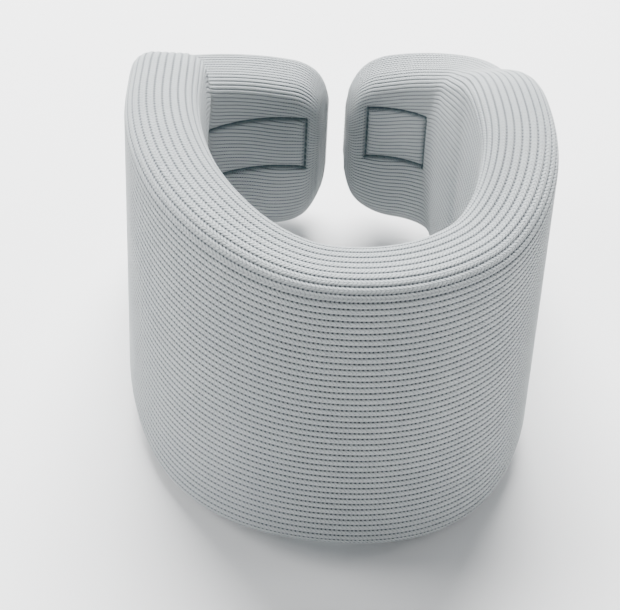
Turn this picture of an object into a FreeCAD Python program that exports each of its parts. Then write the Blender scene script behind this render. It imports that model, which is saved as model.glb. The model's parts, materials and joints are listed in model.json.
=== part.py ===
# Cervical collar: a contoured foam ring in a ribbed knit tube, closed at the back with hook and loop.
#
# Everything is worked out in the collar's own upright frame: the front centre faces -Y, the wall stands
# along +Z, and "left" is the -X side. A place on the wall is given by three numbers:
#   s  distance along the middle of the wall, measured from the front centre towards a back end
#   u  depth into the wall, measured from its outer face
#   z  height
# At the end the whole collar is tipped back a little, so that it stands on its lower edge.

import FreeCAD, Part
import math
import os

Vec = FreeCAD.Vector

# ---- driving dimensions (mm, degrees) ----------------------------------------------------------------
WALL = 23.0             # wall thickness, cover included
COVER = 0.8             # knit cover thickness
TOP_ROUND = 7.2         # rounding of the upper rim
BOTTOM_ROUND = 7.4      # rounding of the lower rim
BEND_BLEND = 13.0       # length over which one bend runs into the next
TRACE_STEP = 0.5        # step for following the middle of the wall
LEAN = 5.63             # the whole collar leans back by this much when it stands

KNOTS = (0.0, 0.22, 0.5, 0.75, 1.0)     # where the rims are measured, as shares of a half length
LEFT = dict(
    sign=-1,
    lengths=(41.6, 52.5, 51.8, 12.2, 47.8),     # front, cheek, side, back corner, back
    turns=(45.1, 41.4, -2.8, 54.7, 47.2),       # bend of each of them
    tops=(108.1, 115.1, 120.8, 84.4, 72.4),     # upper rim at the knots
    bottoms=(0.0, -3.1, 12.0, 18.4, 9.2),       # lower rim at the knots
)
RIGHT = dict(
    sign=1,
    lengths=(44.3, 48.0, 54.2, 15.8, 39.3),
    turns=(49.9, 54.6, -0.9, 32.7, 46.4),
    tops=(108.1, 107.6, 121.9, 96.0, 73.1),
    bottoms=(0.0, -4.0, 14.8, 25.0, 15.8),
)
END_TOP_CORNER = 12.5   # corner radii of the two back ends, seen from the back
END_BOTTOM_CORNER = 24.0
END_ROUND = 6.4         # length over which the wall thins at a back end
END_THIN = 0.25         # share of the wall left at the very end

FLEX_AT = (0.209, 0.372, 0.535)     # the three flexing lines of each side, as shares of the half length
FLEX_GAP = 0.6          # clearance between neighbouring segments at the outer face
FLEX_WEDGE = 0.4        # each segment end is cut back by this angle towards the neck

TAPE_WIDTH = 25.0       # hook and loop tape
TAPE = 1.4              # its thickness
TAPE_LIFT = 0.15        # the tapes stand this far off the wall, so that flat facets never cut in
STITCH_INSET = 2.0      # the stitched box lies inside the edge of the tape by this much
THREAD = 1.0            # width of a stitched run
STITCH_RADIUS = 0.33    # of the stitch that goes through the wall at each corner
THREAD_PROUD = 0.3      # it stands this far out of the tape, and out of the neck face
THREAD_SUNK = 0.5       # it is sunk this far into the neck face
LOOP_MIDDLE = 52.0      # height of the middle of the loop strip at its back end
LOOP_RISE = 0.0         # it climbs by this much per mm away from that end
LOOP_FROM, LOOP_TO = 4.0, 87.0      # loop strip, distances from the left back end
TAB_MIDDLE = 55.2       # height of the middle of the tab anchor at its back end
TAB_RISE = 0.177        # it climbs by this much per mm away from that end
TAB_FROM, TAB_TO = 8.0, 41.0        # sewn part of the tab, distances from the right back end
FOLD_FROM_END = 7.0     # the fold line of the tab
FOLD_STANDOFF = 0.5     # air between the sewn part and the folded tab
FOLD_START = 0.8        # the free tab starts this far from its fold line
TAB_BASE = 31.0         # free tab: length up to its flexing line
TAB_TIP = 30.0          # length past it
TIP_GAP = 0.6           # clearance at that line
TIP_START = 1.2         # the tip starts this far past it
TAB_SET = 25.0          # the tip leans in towards the wall by this angle
HOOK = 1.0              # thickness of the hook patch
HOOK_FROM, HOOK_TO = 4.0, 28.0      # hook patch, distances from the flexing line
HOOK_STITCH_INSET = 1.5     # its stitching lies inside its edge by this much
HOOK_EDGE = 1.0         # the patch is narrower than the tape by this much at each edge
SEAM_WIDTH = 2.2        # closing seam at each back end
SEAM_HEIGHT = 0.9
ROUND_SHARE = 0.95      # no rounding takes more of half the wall than this
HEIGHT_SHARE = 0.45     # and no more of its height than this
CUT_OVER = 1.0          # cutting pieces run past what they cut by this much
PITCH = 7.0             # spacing of the sections that shape the wall
BACK_PITCH = 5.0        # the same in the two back segments, which bend more
TAPE_PITCH = 2.5        # and of those that shape the tapes
END_SECTIONS = (18.0, 13.0, 9.0, 6.0, 3.8, 2.0, 0.8)    # closer sections where a back end rounds off


# ---- the shape of the wall ---------------------------------------------------------------------------
def trace(side, step=TRACE_STEP):
    """Walk along the middle of the wall: a list of (s, x, y, heading)."""
    bends = [math.radians(a) / b for a, b in zip(side["turns"], side["lengths"])]
    total = sum(side["lengths"])
    count = int(total / step) + 2
    raw = []
    for i in range(count):
        run, k = 0.0, len(bends) - 1
        for j, length in enumerate(side["lengths"]):
            run += length
            if i * step < run:
                k = j
                break
        raw.append(bends[k])
    half = int(BEND_BLEND / step / 2)
    weights = [0.5 + 0.5 * math.cos(math.pi * j / (half + 1)) for j in range(-half, half + 1)]
    smooth = []
    for i in range(count):
        near = [raw[min(abs(i + j), count - 1)] for j in range(-half, half + 1)]
        smooth.append(sum(w * v for w, v in zip(weights, near)) / sum(weights))
    points, x, y, a = [(0.0, 0.0, 0.0, 0.0)], 0.0, 0.0, 0.0
    for i in range(1, count):
        turn = (smooth[i - 1] + smooth[i]) / 2 * step
        x += step * math.cos(a + turn / 2)
        y += step * math.sin(a + turn / 2)
        a += turn
        points.append((i * step, x, y, a))
    return points


def rim(side, heights, s):
    """Height of a rim at s: a smooth curve through the knots that never overshoots them."""
    xs = [k * half_length(side) for k in KNOTS]
    gaps = [b - a for a, b in zip(xs, xs[1:])]
    rises = [(b - a) / g for a, b, g in zip(heights, heights[1:], gaps)]
    slopes = [0.0]
    for i in range(1, len(rises)):
        before, after = rises[i - 1], rises[i]
        if before * after <= 0:
            slopes.append(0.0)
        else:
            w1, w2 = 2 * gaps[i] + gaps[i - 1], gaps[i] + 2 * gaps[i - 1]
            slopes.append((w1 + w2) / (w1 / before + w2 / after))
    slopes.append(rises[-1])
    i = max(j for j in range(len(gaps)) if s >= xs[j] - 1e-9)
    g, t = gaps[i], (s - xs[i]) / gaps[i]
    return ((2 * t ** 3 - 3 * t ** 2 + 1) * heights[i] + (t ** 3 - 2 * t ** 2 + t) * g * slopes[i]
            + (3 * t ** 2 - 2 * t ** 3) * heights[i + 1] + (t ** 3 - t ** 2) * g * slopes[i + 1])


def half_length(side):
    return sum(side["lengths"])


for each in (LEFT, RIGHT):
    each["trace"] = trace(each)


def stand(side, s):
    """Outer-face point at s, and the unit vectors along the wall and into it."""
    walk = side["trace"]
    i = min(int(s / TRACE_STEP), len(walk) - 2)
    t = s / TRACE_STEP - i
    x, y, a = (walk[i][k] * (1 - t) + walk[i + 1][k] * t for k in (1, 2, 3))
    along = Vec(side["sign"] * math.cos(a), math.sin(a), 0)
    inward = Vec(-side["sign"] * math.sin(a), math.cos(a), 0)
    return Vec(side["sign"] * x, y, 0) - inward * (WALL / 2), along, inward


def corner_drop(distance, radius):
    return radius - math.sqrt(max(radius ** 2 - (radius - distance) ** 2, 0)) if distance < radius else 0.0


# ---- building blocks ---------------------------------------------------------------------------------
def section(origin, inward, u0, u1, z0, z1, r_top, r_bottom):
    """Closed outline with rounded corners in the upright plane through origin."""
    def p(u, z):
        return origin + inward * u + Vec(0, 0, z)

    rt = min(r_top, (u1 - u0) / 2 * ROUND_SHARE, (z1 - z0) * HEIGHT_SHARE)
    rb = min(r_bottom, (u1 - u0) / 2 * ROUND_SHARE, (z1 - z0) * HEIGHT_SHARE)
    kt, kb = rt * (1 - math.sqrt(0.5)), rb * (1 - math.sqrt(0.5))
    edges = [
        Part.makeLine(p(u0, z0 + rb), p(u0, z1 - rt)),
        Part.Arc(p(u0, z1 - rt), p(u0 + kt, z1 - kt), p(u0 + rt, z1)).toShape(),
        Part.makeLine(p(u0 + rt, z1), p(u1 - rt, z1)),
        Part.Arc(p(u1 - rt, z1), p(u1 - kt, z1 - kt), p(u1, z1 - rt)).toShape(),
        Part.makeLine(p(u1, z1 - rt), p(u1, z0 + rb)),
        Part.Arc(p(u1, z0 + rb), p(u1 - kb, z0 + kb), p(u1 - rb, z0)).toShape(),
        Part.makeLine(p(u1 - rb, z0), p(u0 + rb, z0)),
        Part.Arc(p(u0 + rb, z0), p(u0 + kb, z0 + kb), p(u0, z0 + rb)).toShape(),
    ]
    return Part.Wire(edges)


def wall_section(side, s, inset, swing=0.0, step=0.0):
    """Section of the wall at s, drawn in by inset. swing turns its plane about the outer face."""
    total = half_length(side)
    reach = total - s - inset                   # distance left to the end of this skin
    origin, along, inward = stand(side, s)
    turn = math.radians(swing)
    inward = inward * math.cos(turn) + along * math.sin(turn)
    origin = origin + along * step
    top = rim(side, side["tops"], s) - corner_drop(reach, END_TOP_CORNER - inset) - inset
    bottom = rim(side, side["bottoms"], s) + corner_drop(reach, END_BOTTOM_CORNER - inset) + inset
    thin = 1.0
    close = reach / (END_ROUND - inset)
    if close < 1:
        thin = END_THIN + (1 - END_THIN) * math.sqrt(max(1 - (1 - close) ** 2, 0))
    half = (WALL / 2 - inset) * thin
    return section(origin, inward, WALL / 2 - half, WALL / 2 + half, bottom, top,
                   TOP_ROUND - inset, BOTTOM_ROUND - inset)


def stops(a, b, pitch=PITCH):
    n = max(2, int(round((b - a) / pitch)))
    return [a + (b - a) * i / n for i in range(n + 1)]


def segment(side, a, b, inset):
    """Wall between flexing lines a and b."""
    wires = [wall_section(side, a, inset, swing=FLEX_WEDGE, step=FLEX_GAP / 2)]
    wires += [wall_section(side, s, inset) for s in stops(a, b)[1:-1]]
    wires += [wall_section(side, b, inset, swing=-FLEX_WEDGE, step=-FLEX_GAP / 2)]
    return Part.makeLoft(wires, True, True)


def end_segment(side, a, inset):
    """Wall from the last flexing line to the rounded back end."""
    last = half_length(side)
    wires = [wall_section(side, a, inset, swing=FLEX_WEDGE, step=FLEX_GAP / 2)]
    wires += [wall_section(side, s, inset) for s in stops(a, last - END_BOTTOM_CORNER, BACK_PITCH)[1:]]
    wires += [wall_section(side, last - d, inset) for d in END_SECTIONS if d > inset]
    wires.append(wall_section(side, last - inset, inset))
    return Part.makeLoft(wires, True, True)


def front_segment(inset):
    """Front of the collar, one piece across the chin."""
    left_end, right_end = FLEX_AT[0] * half_length(LEFT), FLEX_AT[0] * half_length(RIGHT)
    wires = [wall_section(LEFT, left_end, inset, swing=-FLEX_WEDGE, step=-FLEX_GAP / 2)]
    wires += [wall_section(LEFT, s, inset) for s in reversed(stops(0, left_end)[1:-1])]
    wires += [wall_section(RIGHT, s, inset) for s in stops(0, right_end)[:-1]]
    wires += [wall_section(RIGHT, right_end, inset, swing=-FLEX_WEDGE, step=-FLEX_GAP / 2)]
    return Part.makeLoft(wires, True, True)


def tape(side, near, far, u0, u1, middle, rise, width):
    """Flat band that hugs the wall between two distances from the back end."""
    wires = []
    for d in stops(near, far, TAPE_PITCH):
        origin, along, inward = stand(side, half_length(side) - d)
        z = middle + rise * d
        corners = [origin + inward * u + Vec(0, 0, z + h)
                   for u, h in ((u0, -width / 2), (u1, -width / 2), (u1, width / 2), (u0, width / 2))]
        wires.append(Part.makePolygon(corners + corners[:1]))
    return Part.makeLoft(wires, True, True)


def box_stitch(side, near, far, middle, rise):
    """Thread of a sewn box: a run on the tape, a run on the neck side, and a stitch at each corner."""
    width = TAPE_WIDTH - 2 * STITCH_INSET
    rings = []
    face = -TAPE - TAPE_LIFT
    for u0, u1 in ((face - THREAD_PROUD, face + THREAD_PROUD), (WALL - THREAD_SUNK, WALL + THREAD_PROUD)):
        outside = tape(side, near, far, u0, u1, middle, rise, width)
        inside = tape(side, near + THREAD, far - THREAD, u0 - CUT_OVER, u1 + CUT_OVER, middle, rise,
                      width - 2 * THREAD)
        rings.append(outside.cut(inside))
    thread = rings[0].fuse(rings[1])
    for d in (near + THREAD / 2, far - THREAD / 2):
        for sign in (-1, 1):
            origin, along, inward = stand(side, half_length(side) - d)
            z = middle + rise * d + sign * (width - THREAD) / 2
            start = origin + inward * face + Vec(0, 0, z)
            thread = thread.fuse(Part.makeCylinder(STITCH_RADIUS, WALL - face, start, inward))
    return thread


def slab(origin, length_dir, out_dir, length, thick, width, first=0.0):
    """Flat rectangular piece standing on edge: along length_dir, outwards along out_dir."""
    a = origin + length_dir * first
    b = origin + length_dir * length
    low = Vec(0, 0, -width / 2)
    base = Part.makePolygon([a + low, b + low, b + out_dir * thick + low, a + out_dir * thick + low, a + low])
    return Part.Face(base).extrude(Vec(0, 0, width))


# ---- wall: foam and cover of seven segments ----------------------------------------------------------
nodes = {}


def wall_nodes(name, outer, inner):
    nodes["foam_" + name] = inner
    nodes["cover_" + name] = outer.cut(inner)


wall_nodes("front", front_segment(0.0), front_segment(COVER))
for label, side in (("left", LEFT), ("right", RIGHT)):
    lines = [f * half_length(side) for f in FLEX_AT]
    for place, a, b in (("cheek", lines[0], lines[1]), ("side", lines[1], lines[2])):
        wall_nodes(label + "_" + place, segment(side, a, b, 0.0), segment(side, a, b, COVER))
    wall_nodes(label + "_back", end_segment(side, lines[2], 0.0), end_segment(side, lines[2], COVER))

# ---- closing seam of the knit tube at each back end --------------------------------------------------
for label, side in (("left", LEFT), ("right", RIGHT)):
    total = half_length(side)
    origin, along, inward = stand(side, total)
    low = rim(side, side["bottoms"], total) + END_BOTTOM_CORNER
    high = rim(side, side["tops"], total) - END_TOP_CORNER
    middle = origin + inward * (WALL / 2) + Vec(0, 0, (low + high) / 2) - along * (SEAM_HEIGHT / 3)
    seam = slab(middle - inward * (SEAM_WIDTH / 2), inward, along, SEAM_WIDTH, SEAM_HEIGHT, high - low)
    nodes["end_seam_" + label] = seam
    nodes["cover_" + label + "_back"] = nodes["cover_" + label + "_back"].cut(seam)

# ---- loop strip on the left back end -----------------------------------------------------------------
loop_stitch = box_stitch(LEFT, LOOP_FROM + STITCH_INSET, LOOP_TO - STITCH_INSET, LOOP_MIDDLE, LOOP_RISE)
loop_band = tape(LEFT, LOOP_FROM, LOOP_TO, -TAPE - TAPE_LIFT, -TAPE_LIFT, LOOP_MIDDLE, LOOP_RISE, TAPE_WIDTH)
nodes["loop_strip"] = loop_band.cut(loop_stitch)
nodes["loop_strip_stitching"] = loop_stitch
for wall in ("cover_left_back", "foam_left_back"):
    nodes[wall] = nodes[wall].cut(loop_stitch)

# ---- sewn part of the tab on the right back end ------------------------------------------------------
tab_stitch = box_stitch(RIGHT, TAB_FROM + STITCH_INSET, TAB_TO - STITCH_INSET, TAB_MIDDLE, TAB_RISE)
tab_band = tape(RIGHT, TAB_FROM, TAB_TO, -TAPE - TAPE_LIFT, -TAPE_LIFT, TAB_MIDDLE, TAB_RISE, TAPE_WIDTH)
nodes["tab_anchor"] = tab_band.cut(tab_stitch)
nodes["tab_stitching"] = tab_stitch
for wall in ("cover_right_back", "foam_right_back"):
    nodes[wall] = nodes[wall].cut(tab_stitch)

# ---- free tab, folded back over its sewn part --------------------------------------------------------
fold_face, along, inward = stand(RIGHT, half_length(RIGHT) - FOLD_FROM_END)
back, out = along * -1, inward * -1
climb = Vec(0, 0, TAB_MIDDLE + TAB_RISE * FOLD_FROM_END)
anchor_face = fold_face + climb + out * (TAPE + TAPE_LIFT)
fold_axis = anchor_face + out * (FOLD_STANDOFF / 2)
strap_face = anchor_face + out * FOLD_STANDOFF
nodes["tab_base"] = slab(strap_face, back, out, TAB_BASE - TIP_GAP, TAPE, TAPE_WIDTH, first=FOLD_START)

set_in = math.radians(TAB_SET)
tip_back = back * math.cos(set_in) - out * math.sin(set_in)
tip_out = out * math.cos(set_in) + back * math.sin(set_in)
tip_axis = strap_face + back * TAB_BASE
nodes["tab_tip"] = slab(tip_axis, tip_back, tip_out, TAB_TIP, TAPE, TAPE_WIDTH, first=TIP_START)
hook_face = tip_axis + tip_out * TAPE
hook_width = TAPE_WIDTH - 2 * HOOK_EDGE
patch = slab(hook_face, tip_back, tip_out, HOOK_TO, HOOK, hook_width, first=HOOK_FROM)
inset, low = HOOK_STITCH_INSET, hook_face + tip_out * (HOOK - THREAD_PROUD)
ring = slab(low, tip_back, tip_out, HOOK_TO - inset, 2 * THREAD_PROUD, hook_width - 2 * inset,
            first=HOOK_FROM + inset)
inset += THREAD
hole = slab(low - tip_out * CUT_OVER, tip_back, tip_out, HOOK_TO - inset,
            2 * (THREAD_PROUD + CUT_OVER), hook_width - 2 * inset, first=HOOK_FROM + inset)
nodes["hook_stitching"] = ring.cut(hole)
nodes["hook_patch"] = patch.cut(nodes["hook_stitching"])

# ---- stand the collar up and write the pieces --------------------------------------------------------
AXIS_X = Vec(1, 0, 0)
for shape in nodes.values():
    shape.rotate(Vec(0, 0, 0), AXIS_X, -LEAN)
box = Part.makeCompound(list(nodes.values())).BoundBox
shift = Vec(-(box.XMin + box.XMax) / 2, -(box.YMin + box.YMax) / 2, -box.ZMin)

os.makedirs("parts", exist_ok=True)
for name, shape in nodes.items():
    shape.translate(shift)
    solids = shape.Solids
    shape = solids[0] if len(solids) == 1 else shape
    print("%-22s solids %d valid %s volume %9.1f  x %7.1f %7.1f  y %7.1f %7.1f  z %6.1f %6.1f" % (
        name, len(solids), shape.isValid(), shape.Volume, shape.BoundBox.XMin, shape.BoundBox.XMax,
        shape.BoundBox.YMin, shape.BoundBox.YMax, shape.BoundBox.ZMin, shape.BoundBox.ZMax))
    shape.exportStep("parts/" + name + ".step")


def standing(point):
    turned = FreeCAD.Rotation(AXIS_X, -LEAN).multVec(point) + shift
    return "(%.3f, %.3f, %.3f)" % (turned.x, turned.y, turned.z)


print("shift", shift, "size", box.XLength, box.YLength, box.ZLength)
for label, side in (("left", LEFT), ("right", RIGHT)):
    for share in FLEX_AT:
        s = share * half_length(side)
        origin, along, inward = stand(side, s)
        z = (rim(side, side["tops"], s) + rim(side, side["bottoms"], s)) / 2
        print("flex line", label, share, standing(origin + Vec(0, 0, z)))
print("fold line", standing(fold_axis), "tab flex line", standing(tip_axis))
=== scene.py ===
# %% [markdown]
# # Soft cervical collar
# The collar is one slab of contoured foam inside a ribbed knit tube, bent into a ring and closed at the
# back with hook and loop. The CAD frame holds its size, its segments and its hinges. Here every piece gets
# the surface that the real one has: the ribs and stitches of the knit, the puckers round the sewn boxes,
# the woven tapes and the hooks.

# %% Load the frame
import json
import math

import bmesh
import bpy
import numpy as np
from mathutils import Matrix, Vector

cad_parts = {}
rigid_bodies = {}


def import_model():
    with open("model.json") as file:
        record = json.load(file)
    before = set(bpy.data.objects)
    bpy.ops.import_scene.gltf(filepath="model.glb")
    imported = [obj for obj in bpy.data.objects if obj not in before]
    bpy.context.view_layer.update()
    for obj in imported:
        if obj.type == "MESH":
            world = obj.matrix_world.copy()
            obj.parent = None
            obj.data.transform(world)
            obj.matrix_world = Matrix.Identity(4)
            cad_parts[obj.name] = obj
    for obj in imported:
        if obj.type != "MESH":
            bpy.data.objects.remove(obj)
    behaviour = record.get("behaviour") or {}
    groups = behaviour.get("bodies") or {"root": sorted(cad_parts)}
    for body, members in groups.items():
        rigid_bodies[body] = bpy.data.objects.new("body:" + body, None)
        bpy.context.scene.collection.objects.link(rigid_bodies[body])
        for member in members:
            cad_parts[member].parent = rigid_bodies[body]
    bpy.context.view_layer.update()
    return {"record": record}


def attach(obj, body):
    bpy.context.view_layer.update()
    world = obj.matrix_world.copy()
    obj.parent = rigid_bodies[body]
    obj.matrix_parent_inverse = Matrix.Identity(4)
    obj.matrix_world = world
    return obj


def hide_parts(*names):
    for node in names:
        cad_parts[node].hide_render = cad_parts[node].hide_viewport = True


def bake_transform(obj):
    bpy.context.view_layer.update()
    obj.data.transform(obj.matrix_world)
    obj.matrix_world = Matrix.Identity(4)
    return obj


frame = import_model()

# %% [markdown]
# ## The shape of the wall
# A place on the wall is given by s, the distance along its middle from the front centre, by u, the depth
# from its outer face, and by z, the height. Each side is a chain of five bends whose curvature is smoothed,
# so that one runs into the next. These are the driving dimensions of the CAD model, in metres, so the
# surface made here lies where the CAD solid does, apart from that solid's flat facets.

# %% Driving dimensions
MM = 0.001
WALL = 23 * MM
TOP_ROUND, BOTTOM_ROUND = 7.2 * MM, 7.4 * MM
BEND_BLEND = 13 * MM
LEAN = math.radians(5.63)
KNOTS = np.array([0, 0.22, 0.5, 0.75, 1])
END_TOP_CORNER, END_BOTTOM_CORNER = 12.5 * MM, 24 * MM
END_ROUND, END_THIN = 6.4 * MM, 0.25
FLEX_AT = (0.209, 0.372, 0.535)
STEP = 0.5 * MM


class Side:
    """One half of the ring, from the front centre to a back end."""

    def __init__(self, name, sign, lengths, turns, tops, bottoms):
        self.name, self.sign = name, sign
        self.lengths = np.array(lengths) * MM
        self.turns = np.radians(turns)
        self.tops, self.bottoms = np.array(tops) * MM, np.array(bottoms) * MM
        self.length = self.lengths.sum()
        self.walk()

    def walk(self):
        """Follow the middle of the wall: x, y and heading at every step."""
        self.s = np.arange(int(self.length / STEP) + 2) * STEP
        bend = np.minimum(np.searchsorted(np.cumsum(self.lengths), self.s, side="right"), 4)
        raw = (self.turns / self.lengths)[bend]
        half = int(BEND_BLEND / STEP / 2)
        weights = 0.5 + 0.5 * np.cos(np.pi * np.arange(-half, half + 1) / (half + 1))
        wide = np.concatenate([raw[half:0:-1], raw, np.repeat(raw[-1], half)])
        smooth = np.convolve(wide, weights / weights.sum(), "valid")
        turn = (smooth[1:] + smooth[:-1]) / 2 * STEP
        self.heading = np.concatenate([[0], np.cumsum(turn)])
        middle = self.heading[:-1] + turn / 2
        self.x = np.concatenate([[0], np.cumsum(np.cos(middle))]) * STEP
        self.y = np.concatenate([[0], np.cumsum(np.sin(middle))]) * STEP

    def stand(self, s):
        """Outer-face point and the directions along and into the wall, for an array of s."""
        a = np.interp(s, self.s, self.heading)
        none = np.zeros_like(a)
        along = np.stack([self.sign * np.cos(a), np.sin(a), none], -1)
        inward = np.stack([-self.sign * np.sin(a), np.cos(a), none], -1)
        middle = np.stack([self.sign * np.interp(s, self.s, self.x), np.interp(s, self.s, self.y), none], -1)
        return middle - inward * WALL / 2, along, inward

    def rim(self, heights, s):
        """Height of a rim: a smooth curve through the knots that never overshoots them."""
        xs = KNOTS * self.length
        gaps, rises = np.diff(xs), np.diff(heights) / np.diff(xs)
        slopes = [0.0]
        for i in range(1, 4):
            before, after = rises[i - 1], rises[i]
            w1, w2 = 2 * gaps[i] + gaps[i - 1], gaps[i] + 2 * gaps[i - 1]
            slopes.append((w1 + w2) / (w1 / before + w2 / after) if before * after > 0 else 0.0)
        slopes = np.array(slopes + [rises[-1]])
        i = np.clip(np.searchsorted(xs, s, side="right") - 1, 0, 3)
        t = (s - xs[i]) / gaps[i]
        return ((2 * t ** 3 - 3 * t ** 2 + 1) * heights[i] + (t ** 3 - 2 * t ** 2 + t) * gaps[i] * slopes[i]
                + (3 * t ** 2 - 2 * t ** 3) * heights[i + 1] + (t ** 3 - t ** 2) * gaps[i] * slopes[i + 1])


LEFT = Side("left", -1, (41.6, 52.5, 51.8, 12.2, 47.8), (45.1, 41.4, -2.8, 54.7, 47.2),
            (108.1, 115.1, 120.8, 84.4, 72.4), (0.0, -3.1, 12.0, 18.4, 9.2))
RIGHT = Side("right", 1, (44.3, 48.0, 54.2, 15.8, 39.3), (49.9, 54.6, -0.9, 32.7, 46.4),
             (108.1, 107.6, 121.9, 96.0, 73.1), (0.0, -4.0, 14.8, 25.0, 15.8))
print("half lengths", LEFT.length, RIGHT.length)

# %% Stand it up where the frame says
# The first flex line of the left side is a hinge of the frame, so it says where the collar stands.
TILT = np.array(Matrix.Rotation(-LEAN, 3, "X"))
flex_s = FLEX_AT[0] * LEFT.length
flex_height = (LEFT.rim(LEFT.tops, flex_s) + LEFT.rim(LEFT.bottoms, flex_s)) / 2
flex_point = LEFT.stand(flex_s)[0] + np.array([0, 0, flex_height])
hinge = next(j for j in frame["record"]["behaviour"]["joints"] if j["name"] == "left_flex")
SHIFT = np.array(hinge["pos_m"]) - TILT @ flex_point
print("shift", SHIFT.round(5))


def stood(points):
    """From the collar's own upright frame to the row frame."""
    return points @ TILT.T + SHIFT


# %% [markdown]
# ## Skins
# Most pieces here are a closed skin: a flat grid that is wrapped round a section, joined along its edge and
# capped at its ends. The grid operator makes the faces and the UV map, and only the places of its vertices
# are worked out, all at once with arrays.

# %% A grid wrapped round a section
def section(f, thick, low, high, r_low, r_high):
    """Half of a rounded outline, from the middle of its lower edge (f = 0) over its outer face to the
    middle of its upper edge (f = 1). Gives depth u and height z."""
    flat_low, bend_low = thick / 2 - r_low, r_low * np.pi / 2
    face, bend_high = high - low - r_low - r_high, r_high * np.pi / 2
    q = f * (flat_low + bend_low + face + bend_high + thick / 2 - r_high)
    a = flat_low
    b = a + bend_low
    c = b + face
    d = c + bend_high
    low_angle, high_angle = (q - a) / r_low, (q - c) / r_high
    zones = [q < a, q < b, q < c, q < d]
    u = np.select(zones, [thick / 2 - q, r_low * (1 - np.sin(low_angle)), 0 * q,
                          r_high * (1 - np.cos(high_angle))], r_high + q - d)
    z = np.select(zones, [low + 0 * q, low + r_low * (1 - np.cos(low_angle)), low + r_low + q - b,
                          high - r_high * (1 - np.sin(high_angle))], high + 0 * q)
    return u, z


def round_section(v, thick, low, high, r_low, r_high):
    """The whole outline: v from 0 to 1 goes up the outer face and down the inner one."""
    outer = v <= 0.5
    u, z = section(np.where(outer, 2 * v, 2 - 2 * v), thick, low, high, r_low, r_high)
    return np.where(outer, u, thick - u), z


def new_object(name, mesh):
    piece = bpy.data.objects.new(name, mesh)
    bpy.context.scene.collection.objects.link(piece)
    return piece


def mesh_places(mesh):
    co = np.empty(len(mesh.vertices) * 3)
    mesh.vertices.foreach_get("co", co)
    return co.reshape(-1, 3)


def skin(name, places, uvs=None):
    """Make a closed piece from an array of places, columns by rows by 3. The last row meets the first, and
    the two end columns are capped."""
    columns, rows = places.shape[0] - 1, places.shape[1] - 1
    bm = bmesh.new()
    bm.loops.layers.uv.new("knit")
    bmesh.ops.create_grid(bm, x_segments=columns, y_segments=rows, size=0.5, calc_uvs=True)
    mesh = bpy.data.meshes.new(name)
    bm.to_mesh(mesh)
    bm.free()
    co = mesh_places(mesh)
    column = np.rint((co[:, 0] + 0.5) * columns).astype(int)
    row = np.rint((co[:, 1] + 0.5) * rows).astype(int)
    mesh.vertices.foreach_set("co", places[column, row].ravel())
    if uvs is not None:
        corner = np.empty(len(mesh.loops), dtype=np.int32)
        mesh.loops.foreach_get("vertex_index", corner)
        mesh.uv_layers["knit"].data.foreach_set("uv", uvs[column[corner], row[corner]].ravel())
    bm = bmesh.new()
    bm.from_mesh(mesh)
    bmesh.ops.remove_doubles(bm, verts=bm.verts, dist=0.02 * MM)
    rims = [e for e in bm.edges if e.is_boundary]
    for edge in rims:
        edge.smooth = False
    bmesh.ops.holes_fill(bm, edges=rims, sides=0)
    for face in bm.faces:
        face.smooth = len(face.verts) == 4
    bmesh.ops.recalc_face_normals(bm, faces=bm.faces)
    bm.to_mesh(mesh)
    bm.free()
    return new_object(name, mesh)


print("skins ready")

# %% [markdown]
# ## The knit cover
# The real cover is a rib-knit tube. Its ribs run the length of the collar, with the same number all the way
# round, so they lie closer where the collar is low and open out where it is tall. They are made as real
# relief: each rib has six rows of faces across it. The single stitches are smaller than a face and come from
# the material. Each side is cut into pieces that span one hinge each, with one more at the back end, and
# neighbouring pieces share their edge places exactly, so the tube reads as one.

# %% Ribs, sewn boxes and the surface of the cover
RIBS = 108
ROWS_PER_RIB = 6
RIB_HEIGHT = 0.5 * MM
COURSE = 1.1 * MM
LOOP_BOX = dict(near=6 * MM, far=85 * MM, middle=52 * MM, half=10.2 * MM, rise=0.0)
TAB_BOX = dict(near=10 * MM, far=39 * MM, middle=55.2 * MM, half=10.2 * MM, rise=0.177)
BOXES = {"left": LOOP_BOX, "right": TAB_BOX}
TAPE, TAPE_LIFT, TAPE_HALF = 1.4 * MM, 0.15 * MM, 12.5 * MM
CREASE, CREASE_HALF = 0.9 * MM, 0.7 * MM        # sharp crease at a thread: depth and half width
DIP, DIP_REACH = 1.0 * MM, 4 * MM               # soft dip round it: depth and how fast it dies out
SHADE_HALF, SHADE_SOFT, SHADE_REACH = 0.8 * MM, 0.22, 3 * MM    # painted crease shade at a thread: half width, soft share and reach


def thread_depth(box, d, z):
    """How far the thread pulls the neck face in, and how close a place is to the thread (1 on it)."""
    h = z - box["middle"] - box["rise"] * d
    across = np.abs(d - (box["near"] + box["far"]) / 2) - (box["far"] - box["near"]) / 2
    up = np.abs(h) - box["half"]
    outside = np.hypot(np.maximum(across, 0), np.maximum(up, 0))
    gap = np.where((across < 0) & (up < 0), -np.maximum(across, up), outside)
    pull = CREASE * np.exp(-((gap / CREASE_HALF) ** 2)) + DIP * np.exp(-gap / DIP_REACH)
    return pull, np.exp(-((gap / SHADE_HALF) ** 2)) + SHADE_SOFT * np.exp(-gap / SHADE_REACH)


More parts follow.
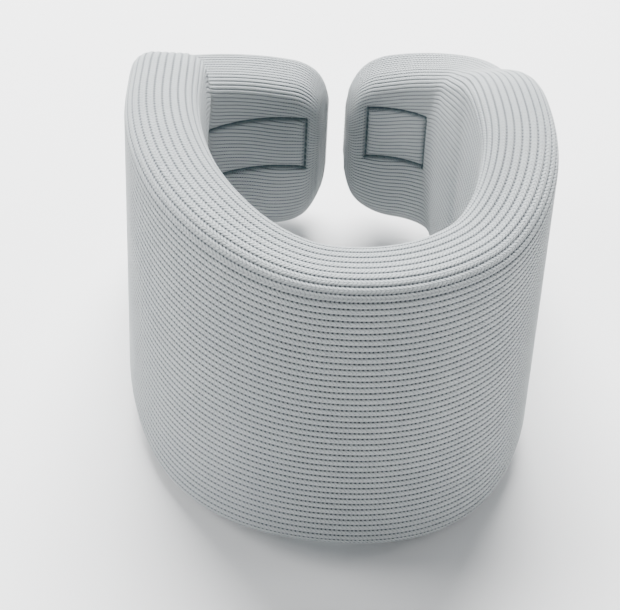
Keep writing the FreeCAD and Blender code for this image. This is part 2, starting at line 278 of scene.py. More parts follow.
def wall_places(side, s, v, inset=0.0):
    """Places on the wall for columns s and rows v, and how close each one is to a thread."""
    s, v = s[:, None], v[None, :]
    reach = np.maximum(side.length - s - inset, 0)
    top_corner, bottom_corner = END_TOP_CORNER - inset, END_BOTTOM_CORNER - inset
    drop = [np.where(reach < r, r - np.sqrt(np.maximum(r ** 2 - (r - reach) ** 2, 0)), 0)
            for r in (top_corner, bottom_corner)]
    high = side.rim(side.tops, s) - drop[0] - inset
    low = side.rim(side.bottoms, s) + drop[1] + inset
    close = np.clip(reach / (END_ROUND - inset), 0, 1)
    thin = np.where(reach <= 0, 0.001, END_THIN + (1 - END_THIN) * np.sqrt(1 - (1 - close) ** 2))
    thick = (WALL - 2 * inset) * thin
    r_low = np.minimum(BOTTOM_ROUND - inset, thick * 0.48)
    r_high = np.minimum(TOP_ROUND - inset, thick * 0.48)
    u, z = round_section(v + 0 * s, thick, low, high, r_low, r_high)
    u = u + (WALL - thick) / 2
    pull, nearness = thread_depth(BOXES[side.name], side.length - s, z)
    neck_side = np.clip((u / WALL - 0.75) / 0.2, 0, 1)
    u = u - pull * neck_side
    nearness = nearness * neck_side
    origin, along, inward = side.stand(s + 0 * v)
    return origin + inward * u[..., None] + np.array([0, 0, 1]) * z[..., None], nearness


def outward(places):
    """Unit normals of a wrapped grid of places."""
    ring = places[:, :-1]
    round_it = np.roll(ring, -1, axis=1) - np.roll(ring, 1, axis=1)
    along = np.gradient(ring, axis=0)
    normal = np.cross(along, round_it)
    normal /= np.maximum(np.linalg.norm(normal, axis=-1, keepdims=True), 1e-12)
    return np.concatenate([normal, normal[:, :1]], axis=1)


# %% [markdown]
# The foam presses the cover out between the sewn lines. That swelling is found by a short cloth simulation: a
# coarse skin of each back end is held along its threads, its outer face and its edges, and pushed from
# inside by a steady pressure. How far each place moves, capped, is then added to the fine surface below.
# It is a small effect: a little over a millimetre on the right at most, and about 0.3 mm on the left.

# %% Swelling of the back ends by cloth simulation
SWELL_FROM = 92 * MM        # the simulated stretch, measured from the back end
SWELL_CAP = 1.3 * MM
CUSHION_COLUMNS, CUSHION_ROWS = 37, 88
CUSHION_GAP = 0.6 * MM      # the skin stops this short of the end
HELD_NEARNESS = 0.45        # places closer to a thread than this are held
PRESSED_FROM, PRESSED_TO = 0.53, 0.97       # the rows of the neck face that are free to move
PRESSURE = 4.0
CLOTH_FRAMES = 20


def swelling(side):
    """How far the neck face is pressed out, on a coarse grid of s and v."""
    s = np.linspace(side.length - SWELL_FROM, side.length - CUSHION_GAP, CUSHION_COLUMNS + 1)
    v = np.linspace(0, 1, CUSHION_ROWS + 1)
    places, nearness = wall_places(side, s, v)
    cushion = skin("cushion_" + side.name, places)
    rest = mesh_places(cushion.data)
    index = np.array([np.argmin(((rest - place) ** 2).sum(1)) for place in places.reshape(-1, 3)])
    held = (nearness > HELD_NEARNESS) | (v < PRESSED_FROM)[None, :] | (v > PRESSED_TO)[None, :]
    held[:3] = held[-3:] = True
    group = cushion.vertex_groups.new(name="held")
    group.add(sorted(set(index[held.ravel()].tolist())), 1.0, "REPLACE")
    cloth = cushion.modifiers.new("stuffing", "CLOTH")
    cloth.settings.quality = 6
    cloth.settings.vertex_group_mass = "held"
    cloth.settings.use_pressure = True
    cloth.settings.uniform_pressure_force = PRESSURE
    cloth.settings.effector_weights.gravity = 0
    cloth.point_cache.frame_start, cloth.point_cache.frame_end = 1, CLOTH_FRAMES
    for number in range(1, CLOTH_FRAMES + 1):
        bpy.context.scene.frame_set(number)
    pressed = mesh_places(cushion.evaluated_get(bpy.context.evaluated_depsgraph_get()).data)
    bpy.data.objects.remove(cushion)
    bpy.context.scene.frame_set(1)
    moved = (pressed - rest)[index].reshape(places.shape)
    push = (moved * outward(places) * side.sign).sum(-1)
    print("swelling", side.name, "up to mm", round(float(push.max()) / MM, 2), "free share",
          round(float((push > SWELL_CAP).mean()), 3))
    return s, v, SWELL_CAP * np.tanh(np.clip(push, 0, None) / SWELL_CAP)


def between(grid, values, at):
    """Values along the first axis, read between the places of a grid."""
    i = np.interp(at, grid, np.arange(len(grid)))
    low = np.minimum(i.astype(int), len(grid) - 2)
    share = (i - low)[:, None]
    return values[low] * (1 - share) + values[low + 1] * share


SWELL = {side.name: swelling(side) for side in (LEFT, RIGHT)}


def swell_at(side, s, v):
    grid_s, grid_v, push = SWELL[side.name]
    return between(grid_v, between(grid_s, push, s).T, v).T


# %% One stretch of the cover
END_FADE = 2.5 * MM                         # the ribs die out this close to a back end
NECK_FROM, NECK_TO, NECK_SOFT = 0.56, 0.96, 0.06    # rows of the neck face, and the soft edge of it
NECK_FLATTER, THREAD_FLATTER = 0.45, 0.5    # how much of the relief goes on the neck face and at a thread


def rib_profile(v):
    """Height of the ribs: round ridges with a narrow groove between them."""
    c = np.mod(v * RIBS, 1) - 0.5
    return np.sqrt(1 - (2 * c) ** 2 * 0.94)


def cover_piece(name, side, s0, s1, pitch):
    """One stretch of the knit cover, from s0 to s1."""
    count = int(math.ceil((s1 - s0) / pitch))
    spare = 3                                   # columns past each end, so the normals agree at the joins
    s = s0 + (s1 - s0) * np.arange(-spare, count + spare + 1) / count
    v = np.linspace(0, 1, RIBS * ROWS_PER_RIB + 1)
    places, nearness = wall_places(side, np.minimum(np.abs(s), side.length), v)
    places[s < 0, :, 0] *= -1
    normal = outward(places) * side.sign
    at_end = np.clip((side.length - s) / END_FADE, 0, 1)[:, None]
    neck = np.clip((v - NECK_FROM) / NECK_SOFT, 0, 1) * np.clip((NECK_TO - v) / NECK_SOFT, 0, 1)
    relief = RIB_HEIGHT * (rib_profile(v) - 1) * (1 - NECK_FLATTER * neck)
    relief = relief[None, :] * at_end * (1 - THREAD_FLATTER * np.clip(nearness, 0, 1))
    relief = relief + swell_at(side, s, v)
    places = places + normal * relief[..., None]
    keep = slice(spare, spare + count + 1)
    uvs = np.stack(np.broadcast_arrays(side.sign * s[:, None] / COURSE, v[None, :] * RIBS), -1)
    piece = skin(name, stood(places[keep]), uvs[keep])
    # The painted crease shade: how close each vertex is to a thread, stored for the knit finish to darken the
    # cloth with.
    mark = piece.data.attributes.new("thread_nearness", "FLOAT", "POINT")
    co = (mesh_places(piece.data) - SHIFT) @ TILT
    mark.data.foreach_set("value", nearness_at(side, co).astype(np.float32))
    print(name, "faces", len(piece.data.polygons))
    return piece


def nearness_at(side, co):
    """How close each vertex is to a thread, from its place in the upright frame."""
    walk = np.stack([side.sign * side.x, side.y], -1)
    near = np.empty(len(co), dtype=int)
    for i in range(0, len(co), 20000):
        block = co[i:i + 20000, None, :2] - walk[None, :, :]
        near[i:i + 20000] = np.argmin((block ** 2).sum(-1), axis=1)
    s = side.s[near]
    origin, along, inward = side.stand(s)
    u = ((co - origin) * inward).sum(-1)
    closeness = thread_depth(BOXES[side.name], side.length - s, co[:, 2])[1]
    return closeness * np.clip((u / WALL - 0.6) / 0.2, 0, 1)


# %% Where the pieces meet
BACK_STRETCH = 45 * MM      # the last piece that spans a hinge runs this far past it
BLEND_HALF = 9.0 * MM       # half width of the band round a hinge line; its two ends are worked out, and nothing is bent over it


def half_pieces(side):
    """The stretches of one side: from, to, body before, body after and hinge place."""
    flex = [f * side.length for f in FLEX_AT]
    cuts = [0.0, (flex[0] + flex[1]) / 2, (flex[1] + flex[2]) / 2, flex[2] + BACK_STRETCH, side.length]
    bodies = ["front"] + [side.name + "_" + part for part in ("cheek", "side", "back")]
    rows = []
    for i in range(3):
        rows.append((bodies[i + 1], cuts[i], cuts[i + 1], bodies[i], bodies[i + 1], flex[i]))
    rows.append((side.name + "_end", cuts[3], cuts[4], side.name + "_back", None, None))
    return rows


def bend_across(piece, side, before, after, flex):
    """Let a piece ride on its one body; a piece that spans a hinge stays where it is, bound to no body."""
    if after is None:
        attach(piece, before)
        return
    origin, along, inward = side.stand(flex)
    point = origin + inward * WALL / 2
    start, end = (stood(point + along * k * BLEND_HALF) for k in (-1, 1))
    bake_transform(piece)


# %% Make the cover
COLUMN = {"cheek": 1.0 * MM, "side": 1.0 * MM, "back": 0.8 * MM, "end": 0.7 * MM}
covers, foams = [], []
for side in (LEFT, RIGHT):
    for label, s0, s1, before, after, flex in half_pieces(side):
        part = label.split("_")[1]
        piece = cover_piece("knit_" + label, side, s0, s1, COLUMN[part])
        nodes = ["cover_" + side.name + "_" + ("back" if part == "end" else part)]
        if part == "cheek":
            nodes = ["cover_front", nodes[0]]
        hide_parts(*nodes)
        bend_across(piece, side, before, after, flex)
        covers.append(piece)

# %% [markdown]
# ## The foam
# The slab inside is never seen, but it is there: a smooth, slightly smaller skin of the same shape.

# %% Make the foam
FOAM_INSET = 1.7 * MM
FOAM_PITCH, FOAM_ROWS = 3 * MM, 96
for side in (LEFT, RIGHT):
    for label, s0, s1, before, after, flex in half_pieces(side):
        part = label.split("_")[1]
        s1 = s1 - FOAM_INSET if part == "end" else s1
        s = np.linspace(s0, s1, int((s1 - s0) / FOAM_PITCH) + 2)
        v = np.linspace(0, 1, FOAM_ROWS + 1)
        places = wall_places(side, s, v, inset=FOAM_INSET)[0]
        piece = skin("foam_slab_" + label, stood(places))
        nodes = ["foam_" + side.name + "_" + ("back" if part == "end" else part)]
        if part == "cheek":
            nodes = ["foam_front", nodes[0]]
        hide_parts(*nodes)
        bend_across(piece, side, before, after, flex)
        foams.append(piece)
print("foam pieces", len(foams))

# %% [markdown]
# ## Thread
# A machine-sewn line is a row of short stitches, each one a thick little loop of thread that dives into the
# cloth at both ends. A stretched sphere per stitch gives that beaded look at a few dozen faces each.

# %% Rows of stitches
THREAD_STITCH = 2.7 * MM
THREAD_WIDTH = 0.95 * MM


def sewn_rows(name, runs, width=THREAD_WIDTH, stitch=THREAD_STITCH):
    """Stitches along runs of (places, face normals), both in the upright frame."""
    bm = bmesh.new()
    count = 0
    for places, normals in runs:
        legs = np.linalg.norm(np.diff(places, axis=0), axis=1)
        run = np.concatenate([[0], np.cumsum(legs)])
        number = max(1, int(round(run[-1] / stitch)))
        for k in range(number):
            ends = [run[-1] * (k + e) / number for e in (-0.04, 1.04)]
            a, b = (Vector([np.interp(e, run, places[:, i]) for i in range(3)]) for e in ends)
            n = Vector([np.interp(sum(ends) / 2, run, normals[:, i]) for i in range(3)]).normalized()
            along = b - a
            across = n.cross(along).normalized()
            lift = across.cross(along).normalized() * -1
            turn = Matrix((along / 2, across * width / 2, lift * width * 0.42)).transposed().to_4x4()
            turn.translation = (a + b) / 2
            bmesh.ops.create_uvsphere(bm, u_segments=8, v_segments=6, radius=1, matrix=turn)
            count += 1
    bmesh.ops.recalc_face_normals(bm, faces=bm.faces)
    for face in bm.faces:
        face.smooth = True
    mesh = bpy.data.meshes.new(name)
    bm.to_mesh(mesh)
    bm.free()
    mesh.transform(Matrix.Translation(Vector(SHIFT)) @ Matrix(TILT.tolist()).to_4x4())
    print(name, "stitches", count)
    return new_object(name, mesh)


def box_runs(side, box, neck, overrun=1.0 * MM):
    """The four lines of a sewn box, with the ends of each line run on past its corner."""
    near, far, half = box["near"], box["far"], box["half"]
    corners = [(near, -half), (far, -half), (far, half), (near, half)]
    runs = []
    for (d0, h0), (d1, h1) in zip(corners, corners[1:] + corners[:1]):
        length = math.hypot(d1 - d0, h1 - h0)
        t = np.linspace(-overrun / length, 1, 40)
        d, h = d0 + (d1 - d0) * t, h0 + (h1 - h0) * t
        z = box["middle"] + box["rise"] * d + h
        origin, along, inward = side.stand(side.length - d)
        if neck:
            pull = thread_depth(box, d, z)[0]
            u, normal = WALL - pull + 0.15 * MM, inward
        else:
            u, normal = -(TAPE + TAPE_LIFT) - 0.1 * MM + 0 * d, -inward
        runs.append((origin + inward * u[:, None] + np.array([0, 0, 1]) * z[:, None], normal))
    return runs


for side, box, name, node in ((LEFT, LOOP_BOX, "loop_strip_thread", "loop_strip_stitching"),
                              (RIGHT, TAB_BOX, "tab_anchor_thread", "tab_stitching")):
    thread = sewn_rows(name, box_runs(side, box, True) + box_runs(side, box, False))
    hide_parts(node)
    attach(thread, side.name + "_back")

# %% [markdown]
# The tube is closed at each back end by an overlocked seam: slanted stitches that wrap its edge.

# %% Closing seams at the back ends
SEAM_PITCH = 1.5 * MM


def end_seam(side):
    low = side.rim(side.bottoms, side.length) + END_BOTTOM_CORNER
    high = side.rim(side.tops, side.length) - END_TOP_CORNER
    origin, along, inward = side.stand(side.length)
    up = np.array([0, 0, 1.0])
    runs = []
    for z in np.arange(low + 1 * MM, high - 1 * MM, SEAM_PITCH):
        middle = origin + inward * WALL / 2 + up * z
        lean = inward * 0.9 * MM + up * 0.45 * MM
        places = np.array([middle - lean, middle + along * 0.1 * MM, middle + lean])
        runs.append((places, np.array([along] * 3)))
    return sewn_rows("closing_seam_" + side.name, runs, width=0.5 * MM)


for side in (LEFT, RIGHT):
    seam = end_seam(side)
    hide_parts("end_seam_" + side.name)
    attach(seam, side.name + "_back")

# %% [markdown]
# ## Tapes and the closing tab
# The loop strip hugs the left back end. The tab is one length of tape: its first part is sewn to the right
# back end, then it turns back on itself at the fold and lies over its own root until it is used. Flat tape
# is modelled directly, as a thin closed skin that follows a line.

# %% Flat tape along a line
LOOP_FROM, LOOP_TO = 4 * MM, 87 * MM
TAB_TO = 41 * MM
FOLD_FROM_END, FOLD_STANDOFF = 7 * MM, 0.5 * MM
TAB_BASE, TAB_TIP, TAB_SET = 31 * MM, 30 * MM, math.radians(25)
HOOK, HOOK_FROM, HOOK_TO, HOOK_HALF = 1.0 * MM, 4 * MM, 28 * MM, 11.5 * MM
UP = np.array([0, 0, 1.0])


def flat_tape(name, line, normals, half, thick, rows=72, corner=0.3 * MM):
    """A closed band of tape: line is the middle of its back face, normals point out of its front."""
    v = np.linspace(0, 1, rows + 1)
    u, z = round_section(v, thick, -half, half, corner, corner)
    places = line[:, None] + normals[:, None] * (thick - u)[None, :, None] + UP * z[None, :, None]
    run = np.concatenate([[0], np.cumsum(np.linalg.norm(np.diff(line, axis=0), axis=1))])
    uvs = np.stack(np.broadcast_arrays(run[:, None] / MM, v[None, :] * 4 * half / MM), -1)
    piece = skin(name, stood(places), uvs)
    print(name, "length mm", round(run[-1] / MM, 1))
    return piece


def wall_line(side, near, far, box, count):
    """The line of a tape that hugs the outer face, between two distances from the back end."""
    d = np.linspace(near, far, count)
    origin, along, inward = side.stand(side.length - d)
    return origin - inward * TAPE_LIFT + UP * (box["middle"] + box["rise"] * d)[:, None], -inward


loop_strip = flat_tape("loop_strip_tape", *wall_line(LEFT, LOOP_FROM, LOOP_TO, LOOP_BOX, 120),
                       TAPE_HALF, TAPE)
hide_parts("loop_strip")
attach(loop_strip, "left_back")

tab_root = flat_tape("tab_root_tape", *wall_line(RIGHT, FOLD_FROM_END, TAB_TO, TAB_BOX, 60),
                     TAPE_HALF, TAPE)
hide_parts("tab_anchor")
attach(tab_root, "right_back")

# %% The fold, the free tab and its hooks
face, along, inward = RIGHT.stand(RIGHT.length - FOLD_FROM_END)
BACK, OUT = -along, -inward
root = face + UP * (TAB_BOX["middle"] + TAB_BOX["rise"] * FOLD_FROM_END)
fold_axis = root + OUT * (TAPE_LIFT + TAPE + FOLD_STANDOFF / 2)
fold_radius = FOLD_STANDOFF / 2 + TAPE

angles = np.linspace(-np.pi / 2, np.pi / 2, 17)
spokes = -BACK * np.cos(angles)[:, None] + OUT * np.sin(angles)[:, None]
fold = flat_tape("tab_fold_loop", fold_axis + spokes * fold_radius, -spokes, TAPE_HALF, TAPE)
tuple(stood(fold_axis - OUT * FOLD_STANDOFF / 2))
tuple(stood(fold_axis + OUT * FOLD_STANDOFF / 2))
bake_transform(fold)

tip_back = BACK * math.cos(TAB_SET) - OUT * math.sin(TAB_SET)
tip_out = OUT * math.cos(TAB_SET) + BACK * math.sin(TAB_SET)
strap_face = fold_axis + OUT * FOLD_STANDOFF / 2
tip_axis = strap_face + BACK * TAB_BASE
SOFT = 5 * MM                               # the tape turns its corner over this much on each side
b = np.linspace(0, TAB_BASE - SOFT, 24)
bend = np.linspace(0, 1, 14)[1:-1, None]
enter, leave = tip_axis - BACK * SOFT, tip_axis + tip_back * SOFT
curve = enter * (1 - bend) ** 2 + tip_axis * 2 * bend * (1 - bend) + leave * bend ** 2
t = np.linspace(SOFT, TAB_TIP, 24)
line = np.concatenate([strap_face + BACK * b[:, None], curve, tip_axis + tip_back * t[:, None]])
share = np.concatenate([0 * b, bend[:, 0], 0 * t + 1])[:, None]
turn_out = OUT * (1 - share) + tip_out * share
turn_out /= np.linalg.norm(turn_out, axis=1, keepdims=True)
strap = flat_tape("closing_tab_tape", line, turn_out, TAPE_HALF, TAPE)
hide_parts("tab_base", "tab_tip")
tuple(stood(tip_axis - BACK * SOFT))
tuple(stood(tip_axis + tip_back * SOFT))
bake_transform(strap)

hook_line = tip_axis + tip_out * TAPE + tip_back * np.linspace(HOOK_FROM, HOOK_TO, 40)[:, None]
hook_base = flat_tape("hook_patch_base", hook_line, np.array([tip_out] * 40), HOOK_HALF, HOOK * 0.45)
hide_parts("hook_patch")
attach(hook_base, "tab_end")


def hook_field():
    """Rows of little hooks: each is a stem that bows over, lofted by extruding and turning a small ring."""
    bm = bmesh.new()
    pitch_along, pitch_across = 1.25 * MM, 1.5 * MM
    rows = np.arange(HOOK_FROM + 2.6 * MM, HOOK_TO - 2.6 * MM, pitch_along)
    lanes = np.arange(-HOOK_HALF + 2.6 * MM, HOOK_HALF - 2.4 * MM, pitch_across)
    for i, along_tab in enumerate(rows):
        for j, across in enumerate(lanes):
            foot = tip_axis + tip_out * (TAPE + HOOK * 0.4) + tip_back * along_tab + UP * across
            lean = tip_back * (1 if (i + j) % 2 else -1)
            ring = bmesh.ops.create_circle(bm, segments=5, radius=0.16 * MM)["verts"]
            frame_axes = Matrix((Vector(lean), Vector(np.cross(tip_out, lean)), Vector(tip_out)))
            turn = frame_axes.transposed().to_4x4()
            turn.translation = Vector(foot)
            bmesh.ops.transform(bm, matrix=turn, verts=ring)
            ring_edges = list({e for v in ring for e in v.link_edges})
            for bow, rise in ((0.0, 0.35), (0.12, 0.2), (0.25, 0.05), (0.2, -0.12)):
                made = bmesh.ops.extrude_edge_only(bm, edges=ring_edges)["geom"]
                verts = [g for g in made if isinstance(g, bmesh.types.BMVert)]
                ring_edges = [g for g in made if isinstance(g, bmesh.types.BMEdge)
                              and all(v in verts for v in g.verts)]
                step = Vector(lean * bow * MM + tip_out * rise * MM)
                bmesh.ops.translate(bm, verts=verts, vec=step)
            bmesh.ops.holes_fill(bm, edges=ring_edges, sides=0)
    bmesh.ops.recalc_face_normals(bm, faces=bm.faces)
    for face_ in bm.faces:
        face_.smooth = True
    mesh = bpy.data.meshes.new("hook_field")
    bm.to_mesh(mesh)
    bm.free()
    mesh.transform(Matrix.Translation(Vector(SHIFT)) @ Matrix(TILT.tolist()).to_4x4())
    print("hooks", len(rows) * len(lanes))
    return new_object("hook_field", mesh)


hooks = hook_field()
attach(hooks, "tab_end")

edge = 1.5 * MM
corners = [(HOOK_FROM + edge, -HOOK_HALF + edge), (HOOK_TO - edge, -HOOK_HALF + edge),
           (HOOK_TO - edge, HOOK_HALF - edge), (HOOK_FROM + edge, HOOK_HALF - edge)]
lift = tip_axis + tip_out * (TAPE + HOOK * 0.5)
hook_runs = []
for (t0, h0), (t1, h1) in zip(corners, corners[1:] + corners[:1]):
    ends = np.array([lift + tip_back * t0 + UP * h0, lift + tip_back * t1 + UP * h1])
    hook_runs.append((ends, np.array([tip_out] * 2)))
hook_thread = sewn_rows("hook_patch_thread", hook_runs, width=0.6 * MM, stitch=2.2 * MM)
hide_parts("hook_stitching")
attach(hook_thread, "tab_end")

# %% [markdown]
# ## Finishes
# Shader arithmetic is written as Python: a Wire wraps a socket, and an expression on wires adds the Math
# nodes. Every other node comes from Finish.add.

# %% Wires and finishes
class Wire:
    """A shader value that can be used in arithmetic."""

    def __init__(self, finish, socket):
        self.finish, self.socket = finish, socket

    def math(self, operation, *others):
        return self.finish.add("ShaderNodeMath", {"operation": operation}, dict(enumerate((self, *others))))

    def out(self, name):
        return Wire(self.finish, self.socket.node.outputs[name])

    def __add__(self, other):
        return self.math("ADD", other)

    def __sub__(self, other):
        return self.math("SUBTRACT", other)

    def __rsub__(self, other):
        return self.finish.add("ShaderNodeMath", {"operation": "SUBTRACT"}, {0: other, 1: self})

    def __mul__(self, other):
        return self.math("MULTIPLY", other)

    __radd__, __rmul__ = __add__, __mul__

    def __abs__(self):
        return self.math("ABSOLUTE")

    def fract(self):
        return self.math("FRACT")

    def sine(self):
        return self.math("SINE")

    def limit(self, low, high):
        return self.math("MAXIMUM", low).math("MINIMUM", high)

    def smooth(self, low, high):
        """0 below low, 1 above high, an even curve between."""
        return self.finish.add("ShaderNodeMapRange", {"interpolation_type": "SMOOTHSTEP"},
                               {"Value": self, "From Min": low, "From Max": high})


class Finish:
    """A material with one Principled shader, and the one method that adds its nodes."""

    def __init__(self, name, **fixed):
        self.material = bpy.data.materials.new(name)
        self.material.use_nodes = True
        self.tree = self.material.node_tree
        self.shader = self.tree.nodes["Principled BSDF"]
        for key, value in fixed.items():
            self.shader.inputs[key.replace("_", " ").title()].default_value = value

    def add(self, kind, settings=None, inputs=None, output=0):
        node = self.tree.nodes.new(kind)
        for key, value in (settings or {}).items():
            setattr(node, key, value)
        for key, value in (inputs or {}).items():
            if isinstance(value, Wire):
                self.tree.links.new(value.socket, node.inputs[key])
            else:
                node.inputs[key].default_value = value
        return Wire(self, node.outputs[output])

    def feed(self, name, wire):
        self.tree.links.new(wire.socket, self.shader.inputs[name])

    def mix(self, amount, a, b):
        """Colour a where amount is 0, colour b where it is 1."""
        inputs = {0: amount, 6: a if isinstance(a, Wire) else (*a, 1),
                  7: b if isinstance(b, Wire) else (*b, 1)}
        return self.add("ShaderNodeMix", {"data_type": "RGBA"}, inputs, output=2)

    def noise(self, scale, detail=2.0, roughness=0.5):
        place = self.add("ShaderNodeTexCoord", output="Object")
        return self.add("ShaderNodeTexNoise", {}, {"Vector": place, "Scale": scale, "Detail": detail,
                                                   "Roughness": roughness})

    def bump(self, height, distance, strength=1.0, normal=None):
        inputs = {"Height": height, "Distance": distance, "Strength": strength}
        if normal is not None:
            inputs["Normal"] = normal
        return self.add("ShaderNodeBump", {}, inputs)

    def cover(self, piece):
        piece.data.materials.clear()
        piece.data.materials.append(self.material)


# %% [markdown]
# ### Ribbed knit
# Along every rib runs a chain of V-shaped stitches, two slanted legs to a V, and between the ribs the cloth
# drops into a groove with a little hole at every course. The colour carries painted shade between the legs,
# in the grooves and in the holes. The UV map counts courses along and ribs across, so the whole pattern is
# arithmetic on its two numbers.

# %% Make the knit finish
def knit_finish():
    knit = Finish("ribbed_knit", roughness=0.92, sheen_weight=0.25, sheen_roughness=0.5)
    uv = knit.add("ShaderNodeUVMap", {"uv_map": "knit"})
    course = knit.add("ShaderNodeSeparateXYZ", {}, {0: uv})
    rib = course.out("Y")
    across = abs(rib.fract() - 0.5) * 2
    uneven = knit.noise(420, 2.0)
    course = course + (uneven - 0.5) * 0.7
    leg = abs((course + across * 0.85).fract() - 0.5) * 2
    between_legs = leg.smooth(0.55, 1.0)
    groove = across.smooth(0.62, 1.0)
    centre = 1 - across.smooth(0.0, 0.2)
    hole = across.smooth(0.5, 0.9) * (1 - abs((course + 0.35).fract() - 0.5).smooth(0.08, 0.3))
    height = (1 - between_legs) * (1 - groove) * 0.8 + (1 - centre) * 0.25 - hole * 0.6
    yarn = knit.noise(2300, 3.0, 0.6)
    wear = knit.noise(35, 3.0)
    knit.feed("Normal", knit.bump(height + yarn * 0.5, 0.4 * MM, 0.9))
    light = knit.mix(wear.smooth(0.3, 0.7), (0.44, 0.47, 0.48), (0.50, 0.53, 0.535))
    light = knit.mix(yarn.smooth(0.4, 0.75) * 0.35, light, (0.27, 0.30, 0.32))
    # Painted shade: the cloth darkens between the stitch legs and down the middle of each rib, more in the
    # groove between ribs, and to near black in the stitch holes.
    leg_shaded = knit.mix((between_legs * 0.6 + centre * 0.15).limit(0, 1), light, (0.22, 0.25, 0.27))
    groove_shaded = knit.mix(groove * 0.6, leg_shaded, (0.14, 0.165, 0.185))
    hole_shaded = knit.mix((hole * (0.55 + uneven * 0.6)).limit(0, 0.95), groove_shaded, (0.030, 0.040, 0.050))
    # Painted crease shade: the cloth darkens to teal near a thread, where the crease lies in shadow.
    near = knit.add("ShaderNodeAttribute", {"attribute_name": "thread_nearness"}, output="Fac")
    knit.feed("Base Color", knit.mix((near * 0.85).limit(0, 0.9), hole_shaded, (0.035, 0.070, 0.082)))
    return knit


knit = knit_finish()
for piece in covers:
    knit.cover(piece)
print("knit nodes", len(knit.tree.nodes))


# %% [markdown]
# ### Tapes, thread, hooks and foam
# The tab is a plain woven tape, the loop strip is brushed, the hooks are moulded nylon. Their patterns run in
# millimetres along and across the tape. The thread gets the twist of its plies, the foam its open cells.

# %% Make the other finishes
def tape_finish(name, colour, dark, pile):
    tape = Finish(name, roughness=0.85, sheen_weight=0.3)
    uv = tape.add("ShaderNodeUVMap", {"uv_map": "knit"})
    along = tape.add("ShaderNodeSeparateXYZ", {}, {0: uv})
    across = along.out("Y")
    warp = (across * (2 * math.pi / 0.75)).sine()
    weft = (along * (2 * math.pi / 1.1) + warp * 0.6).sine()
    fuzz = tape.noise(1500, 4.0, 0.7)
    weave = warp * 0.5 + weft * 0.5
    height = weave * (1 - pile) * 0.5 + fuzz * (0.3 + pile)
    tape.feed("Normal", tape.bump(height, (0.25 + 0.35 * pile) * MM, 0.8))
    shade = (weave * 0.25 * (1 - pile) + fuzz * (0.5 + 0.5 * pile)).limit(0, 1)
    tape.feed("Base Color", tape.mix(shade, dark, colour))
    return tape


def thread_finish(name, dark, light):
    thread = Finish(name, roughness=0.6, sheen_weight=0.2)
    place = thread.add("ShaderNodeTexCoord", output="Object")
    ply = thread.add("ShaderNodeTexWave", {"bands_direction": "DIAGONAL"},
                     {"Vector": place, "Scale": 900, "Distortion": 1.5})
    thread.feed("Normal", thread.bump(ply, 0.1 * MM, 0.7))
    thread.feed("Base Color", thread.mix(ply, dark, light))
    return thread


def hook_finish():
    nylon = Finish("hook_nylon", roughness=0.45)
    grain = nylon.noise(800, 3.0)
    nylon.feed("Base Color", nylon.mix(grain, (0.20, 0.22, 0.24), (0.32, 0.35, 0.37)))
    nylon.feed("Normal", nylon.bump(grain, 0.08 * MM, 0.5))
    return nylon


def foam_finish():
    foam = Finish("open_cell_foam", roughness=0.95)
    place = foam.add("ShaderNodeTexCoord", output="Object")
    cells = foam.add("ShaderNodeTexVoronoi", {}, {"Vector": place, "Scale": 900})
    foam.feed("Base Color", foam.mix(cells.smooth(0.0, 0.7), (0.78, 0.75, 0.66), (0.60, 0.57, 0.48)))
    foam.feed("Normal", foam.bump(cells, 0.4 * MM, 0.8))
    return foam


# The sewing thread's near-black teal is partly its own dark colour and partly painted shade of the creases
# the box threads sink into; the hook patch thread shares it.
dark_thread = thread_finish("sewing_thread", (0.010, 0.030, 0.038), (0.035, 0.075, 0.088))
pale_thread = thread_finish("seam_thread", (0.34, 0.37, 0.38), (0.48, 0.51, 0.52))
for piece in bpy.data.objects:
    if piece.name.endswith("_thread"):
        dark_thread.cover(piece)
    elif piece.name.startswith("closing_seam"):
        pale_thread.cover(piece)
tape_finish("brushed_loop_tape", (0.42, 0.45, 0.47), (0.18, 0.20, 0.22), 0.8).cover(loop_strip)
woven = tape_finish("woven_tape", (0.40, 0.43, 0.45), (0.17, 0.19, 0.21), 0.1)
for piece in (tab_root, fold, strap):
    woven.cover(piece)
nylon = hook_finish()
for piece in (hook_base, hooks):
    nylon.cover(piece)
foam_look = foam_finish()
for piece in foams:
    foam_look.cover(piece)

# %% [markdown]
# ## Stage, light and camera
# A pale flat floor, one broad soft light from above and behind, a weaker one from each side, and a long
# lens that looks down into the ring from the chin side.

# %% Floor
bm = bmesh.new()
bmesh.ops.create_grid(bm, x_segments=1, y_segments=1, size=6)
floor_mesh = bpy.data.meshes.new("floor")
bm.to_mesh(floor_mesh)
bm.free()
floor = new_object("floor", floor_mesh)
floor_look = Finish("pale_floor", roughness=0.9)
speck = floor_look.noise(3, 2.0)
floor_look.feed("Base Color", floor_look.mix(speck, (0.90, 0.90, 0.90), (0.94, 0.94, 0.94)))
floor_look.cover(floor)


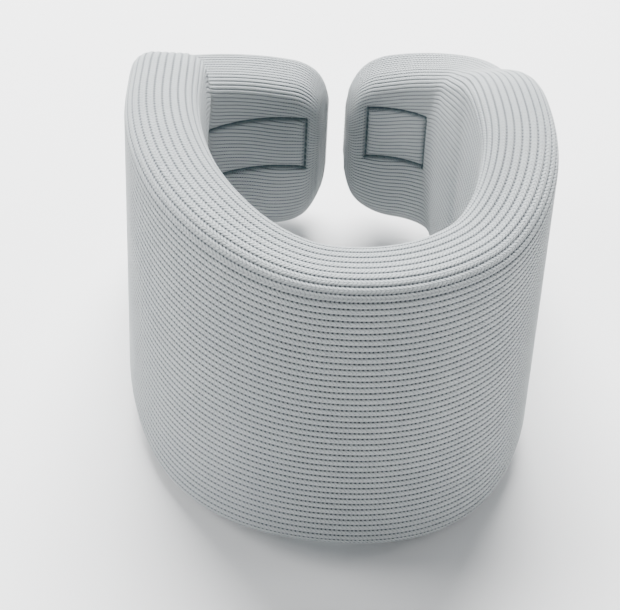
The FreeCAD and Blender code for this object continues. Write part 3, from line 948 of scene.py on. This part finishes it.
# %% Lights
def soft_light(name, place, aim, size, power, colour=(1, 1, 1)):
    light = bpy.data.lights.new(name, "AREA")
    light.shape, light.size, light.energy, light.color = "DISK", size, power, colour
    lamp = bpy.data.objects.new(name, light)
    lamp.location = place
    lamp.rotation_mode = "QUATERNION"
    lamp.rotation_quaternion = (Vector(aim) - Vector(place)).to_track_quat("-Z", "Y")
    bpy.context.scene.collection.objects.link(lamp)


MIDDLE = (0, 0, 0.06)
soft_light("overhead", (-0.15, 0.8, 1.15), MIDDLE, 1.0, 95)
soft_light("left", (-1.3, 0.05, 0.7), MIDDLE, 0.8, 20)
soft_light("right", (1.3, 0.25, 0.5), MIDDLE, 0.8, 9)
world = bpy.data.worlds.new("studio")
bpy.context.scene.world = world
world.use_nodes = True
world.node_tree.nodes["Background"].inputs["Color"].default_value = (0.88, 0.94, 1.0, 1)
world.node_tree.nodes["Background"].inputs["Strength"].default_value = 0.26

# %% Camera
CAMERA_AZIMUTH, CAMERA_HEIGHT, CAMERA_ROLL = math.radians(4.65), math.radians(46.59), math.radians(2.16)
CAMERA_DISTANCE, CAMERA_LENS = 0.6749, 127.0
TARGET = Vector((-0.0013, -0.0364, 0.0640))
back = Vector((math.sin(CAMERA_AZIMUTH) * math.cos(CAMERA_HEIGHT),
               -math.cos(CAMERA_AZIMUTH) * math.cos(CAMERA_HEIGHT), math.sin(CAMERA_HEIGHT)))
right = Vector((0, 0, 1)).cross(back).normalized()
up = back.cross(right)
level = right * math.cos(CAMERA_ROLL) + up * math.sin(CAMERA_ROLL)
upright = up * math.cos(CAMERA_ROLL) - right * math.sin(CAMERA_ROLL)
pose = Matrix((level, upright, back)).transposed().to_4x4()
pose.translation = TARGET + back * CAMERA_DISTANCE
camera_data = bpy.data.cameras.new("camera")
camera_data.lens, camera_data.sensor_width = CAMERA_LENS, 36
camera_data.clip_start, camera_data.clip_end = 0.05, 20
camera = bpy.data.objects.new("camera", camera_data)
camera.matrix_world = pose
bpy.context.scene.collection.objects.link(camera)
bpy.context.scene.camera = camera
